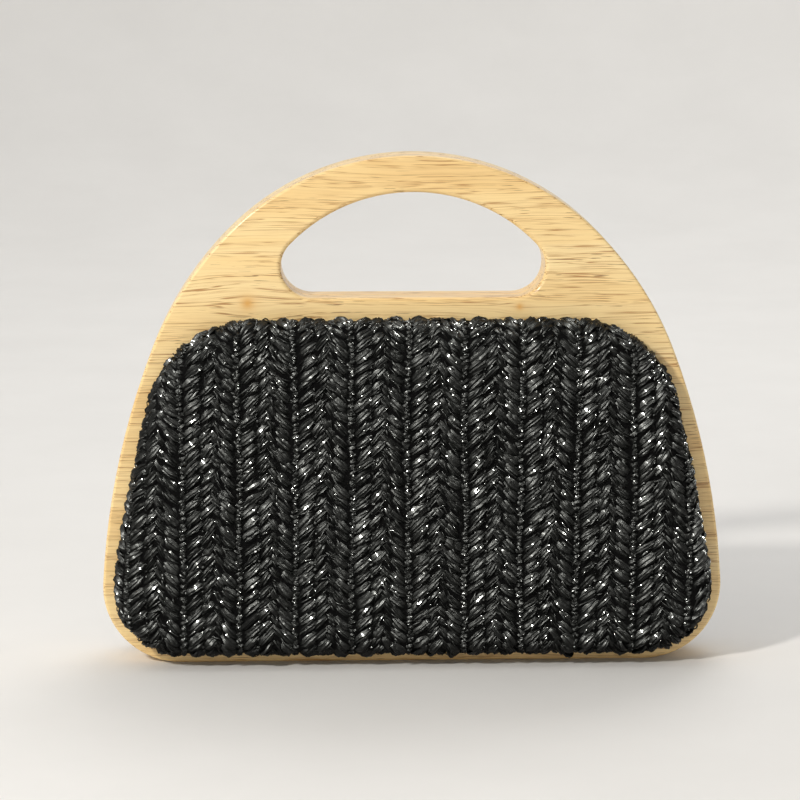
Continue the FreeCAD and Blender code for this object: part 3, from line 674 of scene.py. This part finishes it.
def lining_tray(name, rng):
    """The front lining: its wall from the mouth down, the fold, and its wrinkled floor."""
    wall, _ = panel_outline(LINING_INSET)
    fold, _ = panel_outline(LINING_INSET + LINING_FOLD)
    count = min(len(wall), len(fold))
    pick = np.linspace(0, 1, count, endpoint=False)
    wall = resampled(wall, pick)
    fold = resampled(fold, pick)
    inward = fold - wall
    inward /= np.linalg.norm(inward, axis=1)[:, None]
    middle = fold.mean(0)
    around = np.linspace(0, 2 * math.pi, count, endpoint=False)
    puckers = np.zeros(count)
    for waves in (9, 14, 23, 31, 47):
        puckers += np.sin(around * waves + rng.uniform(0, 6)) * rng.uniform(0.3, 1) / 3
    straight = abs(lining_floor - lining_mouth) - LINING_FOLD
    rings, flats = [], []
    for depth in (*np.linspace(0, HEM_DEPTH - 0.4 * MM, 4), *np.linspace(HEM_DEPTH, straight, 8)):
        step = HEM_STEP if depth < HEM_DEPTH else 0.0
        slack = LINING_SLACK * math.sin(math.pi * depth / straight) ** 2
        ring = wall + inward * (step + slack * (1 + puckers))[:, None]
        rings.append(np.stack([ring[:, 0], np.full(count, lining_mouth - depth), ring[:, 1]], axis=1))
        flats.append(wall - inward * (abs(lining_floor - lining_mouth) - depth))
    for turn in np.linspace(0.2, 1, 5) * math.pi / 2:
        ring = wall + inward * LINING_FOLD * (1 - math.cos(turn))
        down = straight + LINING_FOLD * math.sin(turn)
        rings.append(np.stack([ring[:, 0], np.full(count, lining_mouth - down), ring[:, 1]], axis=1))
        flats.append(ring)
    for share in 1 - np.linspace(0.03, 1, 34) ** 0.9 * 0.995:
        ring = middle + (fold - middle) * share
        lift = soft_creases(ring - middle, np.random.default_rng(5), 16, (0.11, 0.06), 0.05, WRINKLE_DEPTH)
        lift += FLOOR_LIFT * (1 - share**2)
        rings.append(np.stack([ring[:, 0], lining_floor + lift, ring[:, 1]], axis=1))
        flats.append(ring)
    index = np.arange(len(rings) * count).reshape(len(rings), count)
    beside = np.roll(index, -1, axis=1)
    sides = np.stack([index[:-1], index[1:], beside[1:], beside[:-1]], axis=-1).reshape(-1, 4)
    piece = mesh_piece(name, np.concatenate(rings), sides, index[-1:])
    uv_from(piece, np.concatenate(flats))
    return thickened(piece)


WEAVE_SCALE = 2900 / 6.2832


def beige_cotton(name, tint=(1.0, 1.0, 1.0)):
    """Plain weave: fine warp and weft threads at right angles, with slubs."""
    material, tree, shader = new_material(name)
    flat = node(tree, "ShaderNodeUVMap", uv_map="cloth").outputs[0]
    threads = []
    for turn in (0, math.pi / 2):
        spun = {"Vector": flat, "Angle": turn}
        turned = node(tree, "ShaderNodeVectorRotate", spun, rotation_type="Z_AXIS")
        wave = node(
            tree,
            "ShaderNodeTexWave",
            {
                "Vector": turned.outputs[0],
                "Scale": WEAVE_SCALE,
                "Distortion": 0.6,
                "Detail": 1.0,
                "Detail Scale": 0.5,
            },
        )
        threads.append(wave.outputs["Fac"])
    weave = maths(tree, "MAXIMUM", threads[0], threads[1])
    slubs = stretched_noise(tree, flat, (60, 900, 1), 3, 0.6)
    clouds = stretched_noise(tree, flat, (14, 14, 1), 3, 0.5)
    light = tuple(c * t for c, t in zip((0.66, 0.55, 0.40), tint))
    dark = tuple(c * t for c, t in zip((0.50, 0.40, 0.28), tint))
    colour = blended(tree, "MIX", weave, dark, light)
    slub = ramp(tree, slubs, [(0.55, 0.0), (0.7, 0.35)])
    colour = blended(tree, "MIX", slub, colour, tuple(c * 1.12 for c in light))
    shade = ramp(tree, clouds, [(0.3, 0.92), (0.7, 1.0)])
    colour = blended(tree, "MULTIPLY", 1.0, colour, shade)
    height = maths(tree, "ADD", weave, maths(tree, "MULTIPLY", slubs, 0.6))
    bump = node(tree, "ShaderNodeBump", {"Strength": 0.5, "Distance": 0.00025, "Height": height})
    tree.links.new(colour, shader.inputs["Base Color"])
    tree.links.new(bump.outputs[0], shader.inputs["Normal"])
    tree.links.new(ramp(tree, weave, [(0.0, 0.95), (1.0, 0.82)]), shader.inputs["Roughness"])
    shader.inputs["Sheen Weight"].default_value = 0.15
    return material


def stitches(name, places, heading, length, radius):
    """Short raised threads, each pointing along its own heading, as one mesh."""
    around, rings = 6, 5
    t = np.linspace(-1, 1, rings)
    turn = np.arange(around) * 2 * math.pi / around
    up = np.cross(heading, (0, 0, 1.0))
    up = np.where(np.linalg.norm(up, axis=1)[:, None] < 1e-6, np.array([[0, 1.0, 0]]), up)
    up /= np.linalg.norm(up, axis=1)[:, None]
    side = np.cross(heading, up)
    girth = radius * np.sqrt(np.clip(1.05 - t**2, 0.05, 1))
    centre = places[:, None] + heading[:, None] * (t * length / 2)[None, :, None]
    ring = np.cos(turn)[:, None] * up[:, None, None] + np.sin(turn)[:, None] * side[:, None, None]
    points = centre[:, :, None] + ring * girth[None, :, None, None]
    index = np.arange(len(places) * rings * around).reshape(len(places), rings, around)
    near, far = index[:, :-1], index[:, 1:]
    quads = np.stack([near, far, np.roll(far, -1, axis=2), np.roll(near, -1, axis=2)], axis=-1)
    piece = mesh_piece(name, points.reshape(-1, 3), quads.reshape(-1, 4), index[:, 0], index[:, -1, ::-1])
    piece.data.uv_layers.new(name="cloth")
    return piece


def sewing_thread(name):
    material, tree, shader = new_material(name)
    place = node(tree, "ShaderNodeTexCoord").outputs["Object"]
    twist = stretched_noise(tree, place, (2500, 2500, 2500), 2, 0.5)
    colour = ramp(tree, twist, [(0.3, (0.56, 0.45, 0.30)), (0.7, (0.74, 0.62, 0.45))])
    tree.links.new(colour, shader.inputs["Base Color"])
    bump = node(tree, "ShaderNodeBump", {"Strength": 0.4, "Distance": 0.0002, "Height": twist})
    tree.links.new(bump.outputs[0], shader.inputs["Normal"])
    tree.links.new(ramp(tree, twist, [(0.3, 0.5), (0.7, 0.7)]), shader.inputs["Roughness"])
    return material


cotton = beige_cotton("beige_cotton_lining")
thread = sewing_thread("beige_thread")
STITCH_STEP, STITCH_LENGTH, THREAD_RADIUS = 3.2 * MM, 2.1 * MM, 0.22 * MM
lining_outline, _ = panel_outline(LINING_INSET)
lining_round, lining_floor_area = length_and_area(lining_outline)
for half, seed in (("front", 3), ("rear", 4)):
    lining = lining_tray(f"{half}_lining_cloth", np.random.default_rng(seed))
    shares = np.arange(0, 1, STITCH_STEP / lining_round)
    path = resampled(panel_outline(LINING_INSET + CLOTH + 0.75 * MM)[0], shares)
    ahead = np.roll(path, -1, axis=0) - np.roll(path, 1, axis=0)
    ahead /= np.linalg.norm(ahead, axis=1)[:, None]
    seam_y = np.full(len(path), lining_mouth - HEM_DEPTH + 1.4 * MM)
    spots = np.stack([path[:, 0], seam_y, path[:, 1]], axis=1)
    heading = np.stack([ahead[:, 0], np.zeros(len(path)), ahead[:, 1]], axis=1)
    seam = stitches(f"{half}_lining_stitches", spots, heading, STITCH_LENGTH, THREAD_RADIUS)
    for piece, finish in ((lining, cotton), (seam, thread)):
        if half == "rear":
            piece.data.transform(turn_matrix)
        piece.data.materials.append(finish)
        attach(piece, f"{half}_half")
    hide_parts(f"{half}_lining")


# ---------------------------------------------------------------------------------------------
# Slip pocket: a cotton patch on the rear lining, its mouth folded into a hem that gapes a little,
# sewn down on its other three sides.
# ---------------------------------------------------------------------------------------------
pocket_low, pocket_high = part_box("slip_pocket")
POCKET_HEM = 9.0 * MM
POCKET_GAPE, POCKET_BELLY = 3.2 * MM, 0.9 * MM
HEM_THICKNESS = 0.55 * MM
SEAM_INSET = 2 * MM


def grid_faces(index):
    """The four-sided faces of a grid of points, given their numbers row by row."""
    near, far = index[:-1], index[1:]
    return np.stack([near[:, :-1], near[:, 1:], far[:, 1:], far[:, :-1]], axis=-1).reshape(-1, 4)


def pocket_patch(name):
    """The patch as a grid: flat where it is sewn, and standing off the lining towards its mouth."""
    columns, rows = 49, 41
    width, height = pocket_high.x - pocket_low.x, pocket_high.z - pocket_low.z
    u, v = np.meshgrid(np.linspace(0, 1, columns), np.linspace(0, 1, rows))
    across, up = pocket_low.x + u.ravel() * width, pocket_low.z + v.ravel() * height
    from_edge = np.sin(math.pi * u.ravel()) ** 0.8
    gape = POCKET_GAPE * from_edge * v.ravel() ** 2.2
    belly = POCKET_BELLY * from_edge * np.sin(math.pi * np.clip(v.ravel(), 0, 1)) ** 0.7
    from_middle = np.stack([across, up - (pocket_low.z + pocket_high.z) / 2], axis=1)
    rng = np.random.default_rng(8)
    creases = soft_creases(from_middle, rng, 9, (0.05, 0.035), 0.035, 0.8 * MM)
    hem = HEM_THICKNESS * (up > pocket_high.z - POCKET_HEM)
    away = pocket_high.y - gape - belly - creases * from_edge - hem
    index = np.arange(columns * rows).reshape(rows, columns)
    piece = mesh_piece(name, np.stack([across, away, up], axis=1), grid_faces(index))
    uv_from(piece, np.stack([across, up], axis=1))
    return thickened(piece)


patch = pocket_patch("slip_pocket_patch")
sewn = []
for z in np.arange(pocket_low.z + SEAM_INSET, pocket_high.z - 1 * MM, STITCH_STEP):
    sewn += [((x, z), (0, 0, 1.0)) for x in (pocket_low.x + SEAM_INSET, pocket_high.x - SEAM_INSET)]
for x in np.arange(pocket_low.x + 3.5 * MM, pocket_high.x - SEAM_INSET, STITCH_STEP):
    sewn.append(((x, pocket_low.z + SEAM_INSET), (1.0, 0, 0)))
    sewn.append(((x, pocket_high.z - POCKET_HEM + 1.5 * MM), (1.0, 0, 0)))
patch_points = np.array([v.co[:] for v in patch.data.vertices])
spots = []
for (x, z), _ in sewn:
    near = ((patch_points[:, 0] - x) ** 2 + (patch_points[:, 2] - z) ** 2).argsort()[:6]
    spots.append((x, patch_points[near, 1].min() - 0.05 * MM, z))
headings = np.array([heading for _, heading in sewn])
pocket_seam = stitches(
    "slip_pocket_stitches", np.array(spots), headings, STITCH_LENGTH, THREAD_RADIUS
)
for piece, finish in ((patch, cotton), (pocket_seam, thread)):
    piece.data.materials.append(finish)
    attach(piece, "rear_half")
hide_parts("slip_pocket")


# ---------------------------------------------------------------------------------------------
# Gussets: a wedge of lining cotton at each end, sewn to both linings and folded inwards, which
# keeps the purse from falling fully open.
# ---------------------------------------------------------------------------------------------
gusset_low, gusset_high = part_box("right_gusset")
GUSSET_TOP_REACH = 106.5 * MM
GUSSET_TOP_FOLD, GUSSET_BOTTOM_FOLD = 35.0 * MM, 11.0 * MM
GUSSET_FLANGE = 6.0 * MM
GUSSET_FOOT = 21.0 * MM
GLUE_GAP, FOOT_SLACK = 0.7 * MM, 3 * MM
GUSSET_BOW, GUSSET_WAVE = 1.6 * MM, 0.35 * MM


def lining_reach(heights):
    """How far out the lining's wall is at each height."""
    outline = lining_outline[lining_outline[:, 0] > 0]
    order = outline[:, 1].argsort()
    return np.interp(heights, outline[order, 1], outline[order, 0])


def gusset_cloth(name, mirror):
    """The wedge as a grid, from the rear lining round the inward fold to the front lining."""
    rows, flange = 39, 4
    fold_side = np.linspace(0, 1, 15)
    points, places = [], []
    for z in np.linspace(GUSSET_FOOT, gusset_high.z, rows):
        share = (z - gusset_low.z) / (gusset_high.z - gusset_low.z)
        reach = lining_reach(z) - CLOTH - GLUE_GAP
        top_fold = reach - GUSSET_TOP_REACH + GUSSET_TOP_FOLD
        fold = GUSSET_BOTTOM_FOLD + FOOT_SLACK + (top_fold - GUSSET_BOTTOM_FOLD - FOOT_SLACK) * share
        half = gusset_high.y
        line = [(reach, half + GUSSET_FLANGE * (1 - k / flange)) for k in range(flange)]
        for t in fold_side:
            bow = GUSSET_BOW * math.sin(math.pi * t) * (1 + 0.5 * math.sin(z * 210 + mirror))
            line.append((reach - fold * t**0.92, half * (1 - t) ** 0.85 + bow * 0.6))
        line += [(x, -y) for x, y in line[:-1][::-1]]
        travelled = 0.0
        for k, (x, y) in enumerate(line):
            wave = GUSSET_WAVE * math.sin(z * 160 + k * 0.5) * (abs(y) < half)
            points.append((mirror * (x + wave), y, z))
            if k:
                travelled += math.dist(line[k - 1], (x, y))
            places.append((travelled, z))
    columns = len(points) // rows
    index = np.arange(len(points)).reshape(rows, columns)
    quads = grid_faces(index)
    piece = mesh_piece(name, points, quads if mirror > 0 else quads[:, ::-1])
    uv_from(piece, np.array(places))
    widest = places[-1][0]
    return thickened(piece), widest


gusset_cotton = beige_cotton("beige_cotton_gusset", (0.96, 0.94, 0.92))
for side, mirror in (("left", -1), ("right", 1)):
    wedge, widest = gusset_cloth(f"{side}_gusset_cloth", mirror)
    wedge.data.materials.append(gusset_cotton)
    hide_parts(f"{side}_gusset")
    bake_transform(wedge)


# ---------------------------------------------------------------------------------------------
# Hinges, screws and magnets: two small brass butt hinges on steel pins, fixed with brass screws,
# and a nickel-plated magnet pressed into each side of each half to hold the purse shut.
# ---------------------------------------------------------------------------------------------
def metal(name, bright, worn, rough, scale):
    """A drawn and lightly scratched metal, a little duller where it has been handled."""
    material, tree, shader = new_material(name)
    place = node(tree, "ShaderNodeTexCoord").outputs["Object"]
    drawn = stretched_noise(tree, place, (scale * 0.06, scale, scale), 4, 0.6)
    patches = stretched_noise(tree, place, (90, 90, 90), 4, 0.6)
    tree.links.new(ramp(tree, patches, [(0.35, worn), (0.6, bright)]), shader.inputs["Base Color"])
    gloss = maths(tree, "ADD", maths(tree, "MULTIPLY", drawn, 0.18), maths(tree, "MULTIPLY", patches, 0.16))
    tree.links.new(maths(tree, "ADD", gloss, rough - 0.17), shader.inputs["Roughness"])
    bump = node(tree, "ShaderNodeBump", {"Strength": 0.25, "Distance": 0.0001, "Height": drawn})
    tree.links.new(bump.outputs[0], shader.inputs["Normal"])
    shader.inputs["Metallic"].default_value = 1.0
    return material


brass = metal("brass", (0.86, 0.63, 0.27), (0.62, 0.42, 0.17), 0.30, 2600)
steel = metal("steel_pin", (0.62, 0.62, 0.60), (0.45, 0.44, 0.42), 0.28, 3200)
nickel = metal("nickel_plate", (0.74, 0.72, 0.68), (0.60, 0.57, 0.52), 0.22, 1500)
hardware = {"front_hinge_screws": (brass, "brass"), "rear_hinge_screws": (brass, "brass")}
for half in ("front", "rear"):
    hardware[f"{half}_magnets"] = (nickel, "magnet")
for side in ("left", "right"):
    hardware[f"{side}_hinge_pin"] = (steel, "steel")
    for half in ("front", "rear"):
        hardware[f"{side}_hinge_{half}_leaf"] = (brass, "brass")
for name, (finish, slot) in hardware.items():
    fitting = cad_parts[name]
    fitting.data.materials.clear()
    fitting.data.materials.append(finish)


# ---------------------------------------------------------------------------------------------
# Floor and light: a pale plastered floor that sweeps up all round, a small bright light high on the
# left, a soft light on the sweep behind, and three that only glint on the straw.
# ---------------------------------------------------------------------------------------------
SWEEP_PROFILE = [
    (0.9, 0.0),
    (1.2, 0.005),
    (1.5, 0.03),
    (1.75, 0.09),
    (1.95, 0.2),
    (2.1, 0.36),
    (2.2, 0.6),
    (2.25, 1.2),
]


def pale_sweep():
    around = 96
    turn = np.arange(around) * 2 * math.pi / around
    rings = []
    for out, up in SWEEP_PROFILE:
        rings.append(np.stack([out * np.cos(turn), out * np.sin(turn), np.full(around, up)], axis=1))
    index = np.arange(len(rings) * around).reshape(len(rings), around)
    beside = np.roll(index, -1, axis=1)
    sides = np.stack([index[:-1], index[1:], beside[1:], beside[:-1]], axis=-1).reshape(-1, 4)
    floor = mesh_piece("pale_floor", np.concatenate(rings), sides, index[:1])
    material, tree, shader = new_material("pale_plaster")
    place = node(tree, "ShaderNodeTexCoord").outputs["Object"]
    mottle = stretched_noise(tree, place, (9, 9, 9), 4, 0.6)
    colour = ramp(tree, mottle, [(0.3, (0.79, 0.775, 0.75)), (0.7, (0.82, 0.805, 0.78))])
    tree.links.new(colour, shader.inputs["Base Color"])
    shader.inputs["Roughness"].default_value = 0.75
    floor.data.materials.append(material)


def soft_light(name, place, aim, width, power, colour, only=None):
    """A round area light; one that is given pieces to light only adds glints to those."""
    data = bpy.data.lights.new(name, "AREA")
    data.shape, data.size, data.energy, data.color = "DISK", width, power, colour
    light = bpy.data.objects.new(name, data)
    light.location = place
    direction = Vector(aim) - light.location
    light.rotation_euler = direction.to_track_quat("-Z", "Y").to_euler()
    if only:
        light.visible_diffuse = False
        light.light_linking.receiver_collection = bpy.data.collections.new(f"{name}_pieces")
        for piece in only:
            light.light_linking.receiver_collection.objects.link(piece)
    bpy.context.scene.collection.objects.link(light)


pale_sweep()
PURSE_MIDDLE = (0, 0, 0.1)
soft_light("key", (-1.05, -1.15, 1.10), PURSE_MIDDLE, 0.16, 21, (1.0, 0.97, 0.92))
glint_lamps = (
    ("left", (-1.05, -1.10, 1.20), 350),
    ("right", (0.75, -1.20, 1.35), 130),
    ("behind", (0.90, 1.30, 1.20), 170),
)
for side, place, power in glint_lamps:
    soft_light(f"glints_{side}", place, PURSE_MIDDLE, 0.20, power, (0.99, 1.0, 0.92), only=strands)
soft_light("back", (0.3, 0.9, 1.5), (0.1, 1.4, 0.1), 1.0, 8.5, (1.0, 1.0, 1.0))
world = bpy.data.worlds.new("room")
world.use_nodes = True
sky = world.node_tree
towards = node(sky, "ShaderNodeTexCoord").outputs["Generated"]
window = node(sky, "ShaderNodeVectorMath", {0: towards, 1: (-0.35, 0.45, 0.82)}, operation="DOT_PRODUCT")
brightness = ramp(sky, window.outputs["Value"], [(0.0, 0.06), (0.35, 0.35), (0.8, 1.0)])
sky.links.new(brightness, sky.nodes["Background"].inputs["Color"])
sky.nodes["Background"].inputs["Strength"].default_value = 0.80
bpy.context.scene.world = world
bpy.context.scene.view_settings.view_transform = "Standard"
